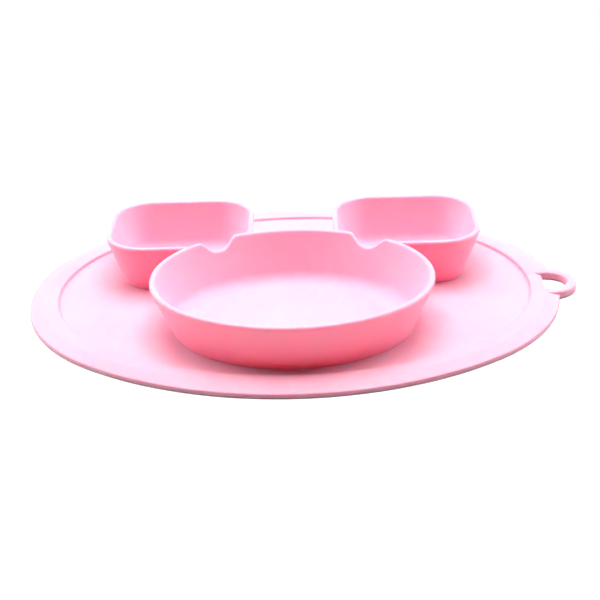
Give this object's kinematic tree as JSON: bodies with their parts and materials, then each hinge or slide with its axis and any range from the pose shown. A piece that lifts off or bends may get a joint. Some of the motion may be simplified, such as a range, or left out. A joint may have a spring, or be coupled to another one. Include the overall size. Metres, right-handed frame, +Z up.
{
  "type": "suction bowl",
  "caption": "Soft silicone feeding mat with a moulded oval bowl, side wells with pouring notches, suction cups underneath and a flexible hanging loop.",
  "frame": {"origin": "middle of the oval mat, without the loop, on the table plane", "axes": "+X along the mat's length towards the hanging loop, +Y away from the child towards the side wells, +Z up"},
  "size_m": [0.29, 0.225, 0.0297],
  "materials": {
    "mat_panel": "matte silicone, pastel pink",
    "border_rim": "matte silicone, pastel pink",
    "main_bowl": "matte silicone, pastel pink",
    "left_well": "matte silicone, pastel pink",
    "right_well": "matte silicone, pastel pink",
    "main_suction_cup": "matte silicone, pastel pink",
    "left_suction_cup": "matte silicone, pastel pink",
    "right_suction_cup": "matte silicone, pastel pink",
    "hanging_loop": "matte silicone, pastel pink"
  },
  "bodies": {
    "mat": {"mat_panel": "mat_panel", "border_rim": "border_rim", "main_bowl": "main_bowl", "left_well": "left_well", "right_well": "right_well", "main_suction_cup": "main_suction_cup", "left_suction_cup": "left_suction_cup", "right_suction_cup": "right_suction_cup"},
    "loop": {"hanging_loop": "hanging_loop"}
  },
  "joints": [
    {"name": "loop_flex", "type": "hinge", "parent": "mat", "child": "loop", "pos_m": [0.1395, 0, 0.0042], "axis": [0, -1, 0], "range_deg": [0, 70], "stiffness_Nm_per_rad": 0.034}
  ]
}
